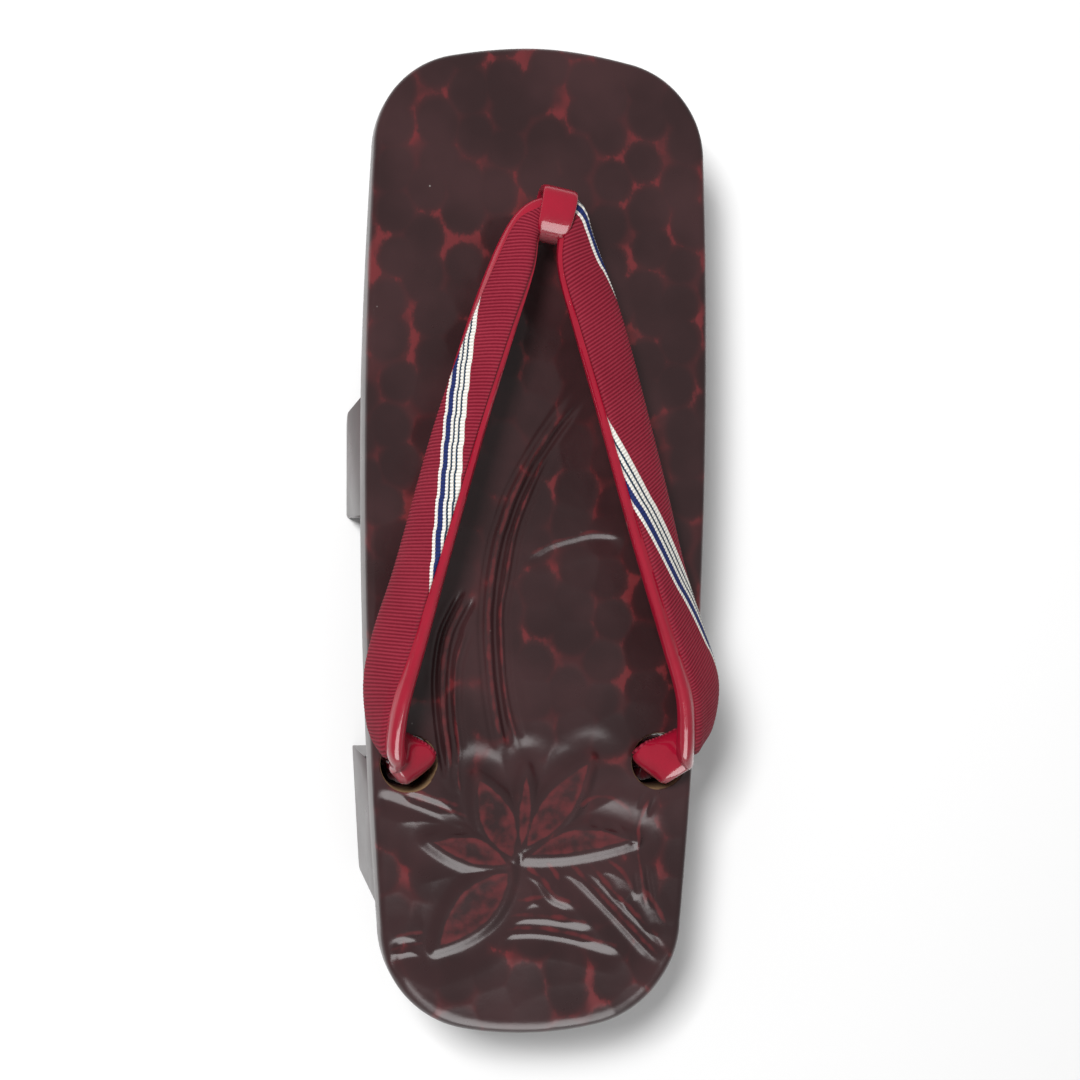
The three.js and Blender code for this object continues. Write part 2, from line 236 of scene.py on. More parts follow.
def eased(values, reach):
    """Rows of values averaged softly with their neighbours up to about twice reach rows away."""
    span = int(math.ceil(2.5 * reach))
    weights = np.exp(-0.5 * (np.arange(-span, span + 1) / reach) ** 2)
    ends = 2 * values[:1] - values[span:0:-1], 2 * values[-1:] - values[-2 : -span - 2 : -1]
    padded = np.vstack([ends[0], values, ends[1]])
    soft = [np.convolve(padded[:, axis], weights / weights.sum(), "valid") for axis in range(values.shape[1])]
    return np.stack(soft, axis=-1)


def unit(vectors):
    return vectors / np.linalg.norm(vectors, axis=-1, keepdims=True)


def ringed(path, a, first, b, second):
    """Points round each station of a path: a along one cross direction and b along the other."""
    return path[:, None] + a[..., None] * first[:, None] + b[..., None] * second[:, None]


def angles_round(sides):
    return np.linspace(0, 2 * math.pi, sides, endpoint=False)


def squared(value, power):
    """A sine or cosine that makes an oval squarer as the power drops below 1."""
    return np.sign(value) * np.abs(value) ** power


def linked(name, data):
    """A new object in the scene."""
    made = bpy.data.objects.new(name, data)
    bpy.context.scene.collection.objects.link(made)
    return made


def shade(mesh, sharp_angle):
    """Smooth shading, with edges that bend by more than the angle left sharp."""
    mesh.shade_smooth()
    mesh.set_sharp_from_angle(angle=math.radians(sharp_angle))


def new_piece(name, points, faces, finish, sharp_angle=40):
    """A shown piece from points in millimetres."""
    mesh = bpy.data.meshes.new(name)
    mesh.from_pydata(np.asarray(points) * MM, [], faces)
    body = bmesh.new()
    body.from_mesh(mesh)
    bmesh.ops.recalc_face_normals(body, faces=body.faces)
    body.to_mesh(mesh)
    body.free()
    shade(mesh, sharp_angle)
    if finish is not None:
        mesh.materials.append(finish)
    return linked(name, mesh)


def apply_modifiers(piece):
    graph = bpy.context.evaluated_depsgraph_get()
    mesh = bpy.data.meshes.new_from_object(piece.evaluated_get(graph))
    piece.modifiers.clear()
    piece.data = mesh


def settle(piece, slot, *nodes):
    """Hands the finished piece to the frame."""
    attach(piece, BODY)
    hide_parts(*nodes)


def write_attribute(mesh, name, values):
    mesh.attributes.new(name, "FLOAT", "POINT").data.foreach_set("value", np.asarray(values, np.float32))


def tube_faces(rings, sides, closed_ends=True):
    """Faces of a tube of rings, each with the same number of sides."""
    faces = []
    for a in range(0, (rings - 1) * sides, sides):
        b = a + sides
        faces += [(a + k, a + (k + 1) % sides, b + (k + 1) % sides, b + k) for k in range(sides)]
    if closed_ends:
        end = (rings - 1) * sides
        faces.append(tuple(range(sides)))
        faces.append(tuple(range(end, end + sides)))
    return faces


# ---- shader tools ----


class Wire:
    """A node's output that takes part in sums: each operator adds its Math node."""

    def __init__(self, finish, socket):
        self.finish = finish
        self.socket = socket

    def math(self, operation, *values):
        return self.finish.node("ShaderNodeMath", {"operation": operation}, dict(enumerate(values)))

    def __add__(self, other):
        return self.math("ADD", self, other)

    def __radd__(self, other):
        return self.math("ADD", other, self)

    def __sub__(self, other):
        return self.math("SUBTRACT", self, other)

    def __rsub__(self, other):
        return self.math("SUBTRACT", other, self)

    def __mul__(self, other):
        return self.math("MULTIPLY", self, other)

    def __rmul__(self, other):
        return self.math("MULTIPLY", other, self)

    def most(self, other):
        return self.math("MAXIMUM", self, other)

    def cosine(self):
        return self.math("COSINE", self)

    def wrapped(self, length):
        """What is left over after whole lengths, never negative."""
        return self.math("WRAP", self, length, 0.0)

    def smooth(self, low, high):
        settings = {"interpolation_type": "SMOOTHSTEP"}
        return self.finish.node("ShaderNodeMapRange", settings, {0: self, 1: low, 2: high})

    def between(self, low, high, soft):
        """1 from low to high, fading over soft at each end."""
        return self.smooth(low - soft, low + soft) * (1 - self.smooth(high - soft, high + soft))


class Finish:
    """A material under construction."""

    def __init__(self, name):
        self.material = bpy.data.materials.new(name)
        self.material.use_nodes = True
        self.tree = self.material.node_tree
        self.tree.nodes.clear()

    def node(self, kind, settings=None, sockets=None, output=0):
        made = self.tree.nodes.new(kind)
        for key, value in (settings or {}).items():
            setattr(made, key, value)
        for key, value in (sockets or {}).items():
            if isinstance(value, Wire):
                self.tree.links.new(value.socket, made.inputs[key])
            else:
                made.inputs[key].default_value = value
        return Wire(self, made.outputs[output])

    def attribute(self, name):
        return self.node("ShaderNodeAttribute", {"attribute_name": name}, output=2)

    def place(self, stretch=(1, 1, 1)):
        """The point's place in millimetres, stretched along each axis."""
        point = self.node("ShaderNodeTexCoord", output=3)
        scale = tuple(part / MM for part in stretch)
        return self.node("ShaderNodeVectorMath", {"operation": "MULTIPLY"}, {0: point, 1: scale})

    def noise(self, size, detail=2.0, stretch=(1, 1, 1), roughness=0.5):
        """Cloudy noise about 0.5, whose blotches are about size millimetres."""
        sockets = {"Vector": self.place(stretch), "Scale": 1 / size, "Detail": detail, "Roughness": roughness}
        return self.node("ShaderNodeTexNoise", sockets=sockets)

    def specks(self, spacing, size):
        """1 on a few small dots."""
        sockets = {"Vector": self.place(), "Scale": 1 / spacing}
        distance = self.node("ShaderNodeTexVoronoi", sockets=sockets)
        return 1 - distance.smooth(size / spacing * 0.6, size / spacing)

    def mixed(self, factor, first, second):
        return self.node("ShaderNodeMix", {"data_type": "RGBA"}, {0: factor, 6: first, 7: second}, output=2)

    def bump(self, height, distance):
        """A normal from a height between 0 and 1 that stands for distance millimetres."""
        sockets = {"Height": height, "Distance": distance * MM, "Strength": 1.0}
        return self.node("ShaderNodeBump", sockets=sockets)

    def finished(self, **sockets):
        """Ends the material in a Principled shader. Names use _ for a space."""
        named = {key.replace("_", " ").replace("Ior", "IOR"): value for key, value in sockets.items()}
        shader = self.node("ShaderNodeBsdfPrincipled", sockets=named)
        end = self.tree.nodes.new("ShaderNodeOutputMaterial")
        self.tree.links.new(shader.socket, end.inputs["Surface"])
        return self.material


def rgba(colour, strength=1.0):
    """A colour for a socket, darker or lighter by its strength."""
    return (*(part * strength for part in colour), 1.0)


# ---- materials ----


def lacquer(settings, name, worn):
    """Dark lacquer over red. worn adds the rubbed places of the deck's walking surface."""
    finish = Finish(name)
    top = rgba(settings.top_coat)
    lighter = rgba(settings.top_coat, 1.7)
    clouds = finish.noise(26, 3)
    colour = finish.mixed(clouds.smooth(0.35, 0.7), top, lighter)
    roughness = 0.24 + 0.10 * finish.noise(9, 4)
    ripple = finish.noise(5, 3, stretch=(1, 1, 0.35))
    if worn:
        patches = finish.noise(2.4, 4, stretch=(1.5, 0.8, 1), roughness=0.65)
        gaps = finish.noise(11, 2)
        ridge = finish.attribute("ridge") + 1.1 * (patches - 0.5)
        streaks = ridge.smooth(0.80, 1.16) * gaps.smooth(0.38, 0.58)
        faint = 0.16 * finish.attribute("ridge").smooth(0.45, 1.1)
        crest = finish.attribute("crest") + 1.3 * (finish.noise(3.6, 4) - 0.5)
        rubbed = (0.75 * streaks + faint).most(0.65 * crest.smooth(0.5, 1.05))
        colour = finish.mixed(rubbed, colour, rgba(settings.under_coat))
        roughness = roughness + 0.06 * rubbed
        dust = finish.specks(9.0, 0.32) * finish.noise(23, 1).smooth(0.5, 0.7)
        colour = finish.mixed(0.5 * dust, colour, (0.35, 0.33, 0.31, 1))
        bare = finish.attribute("bare")
        grain = finish.noise(1.6, 3, stretch=(1, 1, 0.25))
        wood = finish.mixed(grain, rgba(settings.raw_wood, 0.5), rgba(settings.raw_wood))
        colour = finish.mixed(bare, colour, wood)
        roughness = roughness + 0.5 * bare
    return finish.finished(
        Base_Color=colour,
        Roughness=roughness,
        Specular_IOR_Level=0.42,
        Normal=finish.bump(ripple, 0.10),
    )


def patent_leather(settings, name):
    finish = Finish(name)
    deep = rgba(settings.patent, 0.72)
    colour = finish.mixed(finish.noise(7, 2), deep, rgba(settings.patent))
    wrinkles = finish.noise(3.2, 3, stretch=(1, 0.45, 1)) + 0.25 * finish.noise(0.7, 2)
    return finish.finished(
        Base_Color=colour,
        Roughness=0.30 + 0.08 * finish.noise(6, 2),
        Specular_IOR_Level=0.2,
        Coat_Weight=0.8,
        Coat_Roughness=0.07,
        Normal=finish.bump(wrinkles, 0.22),
    )


# Stripes of one group from left to right, as widths in millimetres.
STRIPES = table("thread width", [
    ('white', 0.85), ('navy', 1.4), ('white', 0.8), ('slate', 0.5), ('white', 0.85), ('slate', 0.5),
    ('white', 1.25),
])


def ribbed_cloth(settings, name):
    finish = Finish(name)
    pitch = settings.rib_pitch / MM
    along = finish.attribute("along_stripe")
    turn = along * (2 * math.pi / pitch)
    rib = 0.5 + 0.5 * turn.cosine()
    # The stripes' edges step out and in with the ribs, as woven threads do.
    across = finish.attribute("across_stripe") + 0.10 * (rib - 0.5) + 0.12 * (finish.noise(1.1, 2) - 0.5)
    across = across.wrapped(settings.stripe_repeat / MM)
    threads = finish.noise(0.55, 2)
    wear = finish.noise(11, 2)
    # Painted shade and highlight: the crimson is darker in the grooves between the ribs and lighter on the
    # rib tops; the thread and wear noise add random tone on top.
    dark = rgba(settings.crimson, 0.62)
    light = rgba([min(1, part * 1.35 + 0.02) for part in settings.crimson])
    colour = finish.mixed(0.75 * rib + 0.35 * (threads - 0.5) + 0.3 * (wear - 0.5), dark, light)
    colours = {"white": settings.white, "navy": settings.navy, "slate": settings.slate}
    start = 0.0
    for stripe in STRIPES:
        end = start + stripe["width"]
        mask = across.between(start, end, 0.07)
        tone = colours[stripe["thread"]]
        # Painted shade: each stripe's colour is darker in the grooves between the ribs.
        shade = finish.mixed(rib, rgba(tone, 0.62), rgba(tone))
        colour = finish.mixed(mask, colour, shade)
        start = end
    return finish.finished(
        Base_Color=colour,
        Roughness=0.62 + 0.15 * threads,
        Specular_IOR_Level=0.12,
        Normal=finish.bump(rib + 0.35 * threads, 0.10),
    )


def twisted_cord(settings, name):
    finish = Finish(name)
    fibres = finish.noise(0.6, 3)
    dark = rgba(settings.cord, 0.5)
    colour = finish.mixed(fibres, dark, rgba(settings.cord))
    return finish.finished(
        Base_Color=colour,
        Roughness=0.85,
        Sheen_Weight=0.3,
        Normal=finish.bump(fibres, 0.25),
    )


# ---- plan outline ----


def corner_point(corner, degrees):
    angle = np.radians(degrees)
    reach = corner["radius"]
    return np.stack([corner["x"] + reach * np.cos(angle), corner["y"] + reach * np.sin(angle)], axis=-1)


def quadratic(start, control, end, steps):
    t = np.linspace(0, 1, steps)[:, None]
    return (1 - t) ** 2 * np.array(start) + 2 * t * (1 - t) * np.array(control) + t**2 * np.array(end)


def right_outline():
    """The right half of the plan, clockwise from the toe's middle to the heel's middle."""
    half = LENGTH / 2
    steps = 240
    toe_join = corner_point(TOE_CORNER, CORNER_SWEEP)
    heel_join = corner_point(HEEL_CORNER, -CORNER_SWEEP)
    toe_side = corner_point(TOE_CORNER, 0)
    heel_side = corner_point(HEEL_CORNER, 0)
    stretches = [
        quadratic((0, half), (TOE_CORNER["crown"], half), toe_join, steps)[:-1],
        corner_point(TOE_CORNER, np.linspace(CORNER_SWEEP, 0, steps))[:-1],
        quadratic(toe_side, WAIST, heel_side, 2 * steps)[:-1],
        corner_point(HEEL_CORNER, np.linspace(0, -CORNER_SWEEP, steps))[:-1],
        quadratic(heel_join, (HEEL_CORNER["crown"], -half), (0, -half), steps),
    ]
    return np.vstack(stretches)


class Rim:
    """The deck's edge, read by its length from the toe's middle: positive to the right."""

    def __init__(self):
        self.points = right_outline()
        self.lengths = path_lengths(self.points)
        self.half = self.lengths[-1]
        tangents = unit(np.gradient(self.points, axis=0))
        self.normals = np.stack([-tangents[:, 1], tangents[:, 0]], axis=-1)
        self.normals[0] = (0, 1)
        self.normals[-1] = (0, -1)

    def _read(self, values, length):
        found = [np.interp(np.abs(length), self.lengths, values[:, axis]) for axis in (0, 1)]
        found[0] = found[0] * np.where(length < 0, -1, 1)
        return np.stack(found, axis=-1)

    def at(self, length):
        return self._read(self.points, length)

    def outward(self, length):
        return unit(self._read(self.normals, length))

    def length_at(self, corner, degrees):
        """How far along the right half a corner round reaches that angle."""
        target = corner_point(corner, degrees)
        return self.lengths[np.argmin(np.linalg.norm(self.points - target, axis=1))]


def underside_at(y):
    return DECK_TOP - table_value(DECK_THICKNESS, "thickness", y)


# ---- carving ----
# Places are in millimetres on the deck, seen from above.

# Petals of the flower: base and tip, and how far each edge bows out to the left and right of the
# line from base to tip.
PETALS = table("base tip left right", [
    ((-5.8, -77.0), (-25.4, -70.8), 2.5, 4.4),
    ((-5.0, -75.7), (-14.0, -55.4), 4.2, 4.8),
    ((-3.4, -73.8), (-2.1, -53.8), 1.5, 2.4),
    ((-2.4, -73.0), (13.6, -51.9), 4.0, 4.4),
    ((-1.8, -74.9), (24.9, -71.4), 5.2, 1.3),
    ((-5.6, -78.0), (-23.3, -96.3), 4.9, 5.2),
])

# Steps, drawn from left to right: the ground on the right-hand side of the line, towards the heel,
# is cut away, and width is how broad the slope down to it is.
STEPS = table("width deep line", [
    (1.5, 0.8, [(-7.8, -90.3), (-1.2, -90.1), (6.7, -91.0), (15.6, -92.9)]),
    (1.8, 0.9, [(-9.8, -94.0), (-1.2, -93.4), (6.7, -94.4), (13.7, -96.3), (23.0, -99.2)]),
    (1.4, 0.8, [(-35.3, -95.1), (-30.7, -93.9), (-23.9, -93.4)]),
    (2.0, 0.9, [(-35.5, -98.4), (-30.0, -97.0), (-23.3, -96.7)]),
    (2.0, 1.0, [(-38.6, -58.6), (-31.6, -61.0), (-23.7, -64.1), (-16.7, -66.9), (-13.7, -68.5)]),
    (1.1, 0.7, [(-32.2, -58.7), (-25.0, -61.2), (-16.5, -64.4)]),
    (1.9, 1.0, [(5.3, -75.7), (17.5, -87.5), (31.4, -102.6)]),
    (1.2, 0.8, [(10.8, -75.3), (20.5, -86.0), (33.4, -98.6)]),
    (2.3, 0.8, [(15.2, -76.9), (19.9, -79.7), (23.4, -85.9)]),
    (2.3, 0.8, [(23.6, -82.9), (27.6, -87.0), (31.6, -94.3)]),
    (1.4, 0.7, [(0.6, -75.7), (3.4, -78.4), (6.4, -82.8)]),
    (1.3, 0.9, [(-4.1, -77.4), (1.1, -80.9), (4.6, -85.6), (11.0, -88.0)]),
    (1.5, 0.6, [(-7.0, -87.3), (-1.2, -86.4), (4.0, -85.9), (11.0, -88.0)]),
    (2.9, 0.9, [(10.6, -66.2), (15.6, -63.2), (19.9, -64.4), (23.3, -69.5)]),
    (1.1, 0.6, [(-3.4, -5.1), (2.9, -1.5), (8.5, 0.3), (14.2, 1.5), (21.6, 0.9)]),
])

# Ridges left standing between grooves: the stems and the leaf's double line. left and right are
# the depths of the grooves on each side, and reach is how broad those are.
RIDGES = table("width left right reach line", [
    (1.7, 1.2, 0.55, 1.4, [
        (10.8, 36.8), (6.7, 31.9), (1.8, 25.1), (-2.7, 17.6), (-6.1, 10.9), (-8.4, 4.1), (-9.7, -0.4),
        (-11.2, -9.4), (-11.8, -20.0), (-11.2, -29.4), (-10.1, -38.8), (-8.2, -48.2), (-6.4, -54.2),
    ]),
    (1.0, 0.5, 1.0, 1.3, [
        (4.2, 25.3), (0.6, 18.7), (-2.7, 10.9), (-5.7, 2.2), (-7.6, -9.0), (-8.8, -16.3), (-8.6, -23.8),
        (-7.9, -33.2), (-6.0, -42.6), (-2.6, -51.9),
    ]),
    (1.6, 1.1, 1.3, 1.4, [
        (-15.6, -11.0), (-19.1, -17.4), (-21.4, -23.0), (-22.5, -31.3), (-22.3, -38.8), (-21.4, -46.3),
        (-19.5, -57.2),
    ]),
    (0.9, 0.4, 1.0, 1.2, [
        (-16.1, -18.9), (-19.1, -27.6), (-19.7, -35.1), (-19.3, -42.6), (-18.4, -49.3), (-18.4, -55.9),
        (-16.8, -63.2),
    ]),
    (1.4, 0.6, 0.4, 1.2, [
        (28.8, -59.8), (26.3, -65.7), (25.6, -72.4), (26.5, -81.4), (28.1, -89.3),
    ]),
])
FAR = 1e9  # farther than anything on the deck
WALL = 2.7  # how broad the slope at a petal's edge is
GROUND_RUN = 6.5  # how far from a petal's edge the cut ground has risen to the deck again
STEP_SPREAD = 1.5  # the slope down to a step's ground, times its drawn width
END_RUN = 3.6  # over how much of its length a line fades in
STEP_RUN = 4.2  # and from a step
BEAD = 0.12  # how far a ridge's back stands up
GROOVE_REACH = 1.35  # a ridge's grooves, times their drawn width
GROOVE_DEPTH = 0.7  # and their depth, times the carving's


def to_segment(start, end, x, y):
    """The nearest place on a straight piece, from 0 to 1, and the distance to it."""
    (ax, ay), (dx, dy) = start, end - start
    t = np.clip(((x - ax) * dx + (y - ay) * dy) / (dx * dx + dy * dy), 0, 1)
    return t, np.hypot(x - ax - t * dx, y - ay - t * dy)


def along_line(line, x, y):
    """Distance to a line, positive on its left, and the place along it, from 0 to 1."""
    knots = np.asarray(line, float)
    smooth_line = spline(knots, np.linspace(0, len(knots) - 1, 5 * len(knots)))
    lengths = path_lengths(smooth_line)
    signed = np.full(x.shape, FAR)
    place = np.zeros(x.shape)
    for k, (start, end) in enumerate(zip(smooth_line, smooth_line[1:])):
        dx, dy = end - start
        t, away = to_segment(start, end, x, y)
        nearer = away < np.abs(signed)
        side = np.where(dx * (y - start[1]) - dy * (x - start[0]) >= 0, 1, -1)
        signed = np.where(nearer, side * away, signed)
        length = lengths[k] + t * math.hypot(dx, dy)
        place = np.where(nearer, length / lengths[-1], place)
    return signed, place


def faded_ends(place, line, share):
    """1 along a line and 0 at its ends, fading over a share of it, or over END_RUN on a short line."""
    reach = max(share, END_RUN / path_lengths(np.asarray(line))[-1])
    return smooth(place, 0, reach) * smooth(1 - place, 0, reach)


def petal_outline(petal, steps=26):
    base, tip = np.array(petal["base"]), np.array(petal["tip"])
    axis = tip - base
    side = np.array([-axis[1], axis[0]]) / np.linalg.norm(axis)
    t = np.linspace(0, 1, steps)[:, None]
    bow = np.sin(math.pi * t**0.9) ** 0.9
    left = base + t * axis + side * bow * petal["left"]
    right = base + t * axis - side * bow * petal["right"]
    return np.vstack([left, right[-2:0:-1]])


def inside_outline(outline, x, y):
    """Distance to a closed outline, positive inside it."""
    away = np.full(x.shape, FAR)
    inside = np.zeros(x.shape, bool)
    for start, end in zip(outline, np.roll(outline, -1, axis=0)):
        away = np.minimum(away, to_segment(start, end, x, y)[1])
        dx, dy = end - start
        crosses = (start[1] > y) != (end[1] > y)
        reach = start[0] + dx * (y - start[1]) / np.where(dy == 0, 1, dy)
        inside ^= crosses & (x < reach)
    return np.where(inside, away, -away)


def near(x, y, points, margin):
    """The points of a region that lie within a margin of some other points."""
    points = np.asarray(points, float)
    low, high = points.min(0) - margin, points.max(0) + margin
    return (x > low[0]) & (x < high[0]) & (y > low[1]) & (y < high[1])


def raise_to(field, here, values):
    field[here] = np.maximum(field[here], values)


def drawn(mark, x, y, margin, share):
    """Which points are near a mark's line, their distance to it and its fading at the ends."""
    here = near(x, y, mark["line"], margin)
    away, place = along_line(mark["line"], x[here], y[here])
    return here, away, faded_ends(place, mark["line"], share)


def carving(x, y, deep):
    """Depth of the carving, its rubbed crests and how much of the surface it takes up."""
    cut, bead, crest, taken = np.zeros((4, *x.shape))
    petal_edge = np.full(x.shape, -FAR)
    for petal in PETALS:
        outline = petal_outline(petal)
        here = near(x, y, outline, GROUND_RUN + WALL)
        raise_to(petal_edge, here, inside_outline(outline, x[here], y[here]))
    on_petal = smooth(petal_edge, -0.3, 0.3)

    for step in STEPS:
        here, away, ends = drawn(step, x, y, STEP_RUN + 3, 0.16)
        half = step["width"] * STEP_SPREAD / 2
        slope = smooth(-away, -half, half)
        back = 1 - smooth(-away, half, STEP_RUN + half)
        open_ground = 1 - on_petal[here]
        cut[here] = np.minimum(cut[here], -step["deep"] * deep * slope * back * ends * open_ground)
        rubbed = smooth(away, half - 1.2, half) * (1 - smooth(away, half + 0.2, half + 1.8))
        raise_to(crest, here, 0.8 * rubbed * ends * open_ground)
        raise_to(taken, here, (1 - smooth(np.abs(away), 2, 6)) * ends)

    for ridge in RIDGES:
        here, away, ends = drawn(ridge, x, y, 5, 0.12)
        half, reach = ridge["width"] / 2, GROOVE_REACH * ridge["reach"]
        open_ground = 1 - on_petal[here]
        for side, name in ((1, "left"), (-1, "right")):
            offset = (side * away - half - reach / 2) / (reach / 2 + 0.15)
            groove = np.clip(1 - offset**2, 0, 1)
            groove_cut = -GROOVE_DEPTH * ridge[name] * deep * groove**1.5
            cut[here] = np.minimum(cut[here], groove_cut * ends * open_ground)
        back = np.clip(1 - (away / (half + 0.15)) ** 2, 0, 1)
        raise_to(bead, here, back * ends * open_ground)
        raise_to(crest, here, 0.85 * back * ends * open_ground)
        raise_to(taken, here, (1 - smooth(np.abs(away), 2, 5)) * ends)

    wall = smooth(-petal_edge, 0, WALL)
    back = 1 - smooth(-petal_edge, WALL, GROUND_RUN + WALL)
    ground = -deep * wall * back
    bowl = -0.08 * deep * smooth(petal_edge, 0.6, 4.0)
    cut = np.minimum(cut, np.where(petal_edge > 0, bowl, ground))
    rim = smooth(petal_edge, 0.0, 0.9) * (1 - 0.25 * smooth(petal_edge, 0.9, 2.4))
    crest = np.maximum(crest, 0.9 * rim)
    taken = np.maximum(taken, smooth(petal_edge, -6, -2))
    cut = np.where(bead > 0, np.maximum(cut, -deep), cut) + BEAD * bead
    return cut, crest, taken


# ---- gouge marks ----

GOUGE_SEED = 11  # of the draw that spreads the marks
HALF_WIDTH = 50  # the marks are laid out this far to each side


def gouge_centres(pitch):
    """Centres, sizes and slants of the gouge marks, in staggered columns."""
    draw = np.random.default_rng(GOUGE_SEED)
    marks = []
    across, along = pitch * 0.96, pitch * 1.04
    columns = int(HALF_WIDTH / across) + 1
    rows = int(LENGTH / 2 / along) + 2
    for i in range(-columns, columns + 1):
        for j in range(-rows, rows + 1):
            shift = 0.5 * (i % 2)
            spread = draw.uniform(-1, 1, 2) * pitch * 0.24
            place = (i * across + spread[0], (j + shift) * along + spread[1])
            shape = [draw.uniform(low, high) for low, high in ((1.0, 1.28), (-0.45, 0.45), (-0.14, 0.10))]
            marks.append((*place, *shape))
    return table("x y long slant lift", marks)


def gouges(x, y, pitch):
    """Height of the gouged surface: -1 in the middle of a mark and about 0 on a ridge between marks."""
    first = np.full(x.shape, 9.0)
    second = np.full(x.shape, 9.0)
    radius = 0.58 * pitch
    for mark in gouge_centres(pitch):
        here = (np.abs(x - mark["x"]) < 1.6 * pitch) & (np.abs(y - mark["y"]) < 1.6 * pitch)
        dx, dy = x[here] - mark["x"], y[here] - mark["y"]
        turn, lean = math.cos(mark["slant"]), math.sin(mark["slant"])
        u = (dx * turn - dy * lean) / radius
        v = (dx * lean + dy * turn) / (radius * mark["long"])
        height = u * u + v * v - 1 + mark["lift"]
        second[here] = np.minimum(second[here], np.maximum(first[here], height))
        first[here] = np.minimum(first[here], height)
    worn_ridge = np.clip(0.22 - (second - first), 0, None) ** 2 / 0.88
    return first - worn_ridge


def deck_surface(settings, x, y):
    """Height of the walking surface above its plain level, and where its top coat is rubbed."""
    deep = settings.carving_depth / MM
    cut, crest, taken = carving(x, y, deep)
    height = gouges(x, y, settings.gouge_pitch / MM)
    calm = 1 - 0.85 * taken
    level = (np.minimum(height, 0.15) - 0.15) * (settings.gouge_depth / MM) * calm
    sway = 0.05 * (np.sin(x / 9.0 + 0.7) * np.sin(y / 13.0 + 0.4) - 1)
    ridge = (height + 1) * (1 - 0.35 * taken)
    return level + sway + cut, ridge, crest


# ---- deck ----

COLUMNS = 201  # points across the top
ROW_STEPS = table("from to step", [  # how far apart the rows of the top are, by zone
    (-106, -50, 0.37), (-50, 38, 0.52),
])
PLAIN_STEP = 0.85  # and in the zones between and beyond


def row_lengths(rim, start, end):
    """Lengths along the right side at which the rows of the top end."""
    lengths = [start]
    while lengths[-1] < end:
        y = rim.at(np.array([lengths[-1]]))[0, 1]
        step = next((zone["step"] for zone in ROW_STEPS if zone["from"] <= y < zone["to"]), PLAIN_STEP)
        lengths.append(lengths[-1] + step)
    lengths = np.array(lengths)
    return start + (lengths - start) * (end - start) / (lengths[-1] - start)


def edge_round_at(y):
    begins, complete = HEEL_WEAR
    return EDGE_ROUND + (HEEL_EDGE_ROUND - EDGE_ROUND) * smooth(-y, -begins, -complete)


def deck_blank(settings):
    """The deck without its holes: points and faces."""
    rim = Rim()
    toe_corner = rim.length_at(TOE_CORNER, 45)
    heel_corner = rim.length_at(HEEL_CORNER, -45)
    rows = row_lengths(rim, toe_corner, heel_corner)
    u = np.linspace(-1, 1, COLUMNS)
    toe = u * toe_corner
    heel = np.where(u < 0, -1, 1) * (rim.half - (rim.half - heel_corner) * np.abs(u))
    loop = np.concatenate([toe[:-1], rows[:-1], heel[::-1][:-1], -rows[::-1][:-1]])

    def inset(length):
        points, normals = rim.at(length), rim.outward(length)
        return points - edge_round_at(points[:, 1])[:, None] * normals

    # The top: a grid between the four stretches of the edge.
    toe_edge, heel_edge, right_edge, left_edge = inset(toe), inset(heel), inset(rows), inset(-rows)
    s = ((u + 1) / 2)[None, :, None]
    v = ((rows - rows[0]) / (rows[-1] - rows[0]))[:, None, None]
    ends = (1 - v) * toe_edge[None] + v * heel_edge[None]
    sides = (1 - s) * left_edge[:, None] + s * right_edge[:, None]
    corners = (
        (1 - s) * (1 - v) * toe_edge[0] + s * (1 - v) * toe_edge[-1]
        + (1 - s) * v * heel_edge[0] + s * v * heel_edge[-1]
    )
    grid = (ends + sides - corners).reshape(-1, 2)
    count_rows = len(rows)
    height = deck_surface(settings, grid[:, 0], grid[:, 1])[0]
    points = [np.column_stack([grid, DECK_TOP + height])]
    index = np.arange(count_rows * COLUMNS).reshape(count_rows, COLUMNS)
    quads = np.stack([index[:-1, :-1], index[:-1, 1:], index[1:, 1:], index[1:, :-1]], axis=-1)
    faces = quads.reshape(-1, 4).tolist()

    # The edge, the side and the lower edge: rings round the grid's border.
    border = np.concatenate([index[0, :-1], index[:-1, -1], index[-1, ::-1][:-1], index[::-1, 0][:-1]])
    edge, outward = rim.at(loop), rim.outward(loop)
    under = underside_at(edge[:, 1])
    round_off = edge_round_at(edge[:, 1])
    rings = []
    for degrees in (15, 32, 50, 68, 90):
        angle = math.radians(degrees)
        drawn_in = round_off * (1 - math.sin(angle))
        rings.append((drawn_in, DECK_TOP - round_off * (1 - math.cos(angle)), math.cos(angle)))
    rings.append((0, (2 * under + DECK_TOP) / 3, 0))
    for degrees in (0, 45, 90):
        angle = math.radians(degrees)
        rings.append((LOWER_ROUND * (1 - math.cos(angle)), under + LOWER_ROUND * (1 - math.sin(angle)), 0))
    previous = border
    size = len(border)
    first = len(grid)
    for drawn_in, level, share in rings:
        place = edge - np.broadcast_to(drawn_in, size)[:, None] * outward
        lift = deck_surface(settings, place[:, 0], place[:, 1])[0] if share else 0
        points.append(np.column_stack([place, level + share * lift]))
        current = np.arange(first, first + size)
        band = np.stack([previous, np.roll(previous, -1), np.roll(current, -1), current], axis=-1)
        faces += band.tolist()
        previous = current
        first += size

    # The underside: a strip between the last ring's points and their mirror images, from toe to
    # heel. Its two ends are triangles.
    for k in range(size // 2):
        left, right = COLUMNS // 2 - k, COLUMNS // 2 + k
        corners = dict.fromkeys((i % size for i in (left - 1, left, right, right + 1)))
        faces.append([int(previous[i]) for i in corners])
    return np.vstack(points), faces


def lathe(profile, x, y, sides=64):
    """Points and faces of a closed turned form; the profile runs from bottom to top."""
    angles = angles_round(sides)
    rings = [(x + r * np.cos(angles), y + r * np.sin(angles), np.full(sides, z)) for r, z in profile]
    return np.vstack([np.column_stack(ring) for ring in rings]), tube_faces(len(profile), sides)


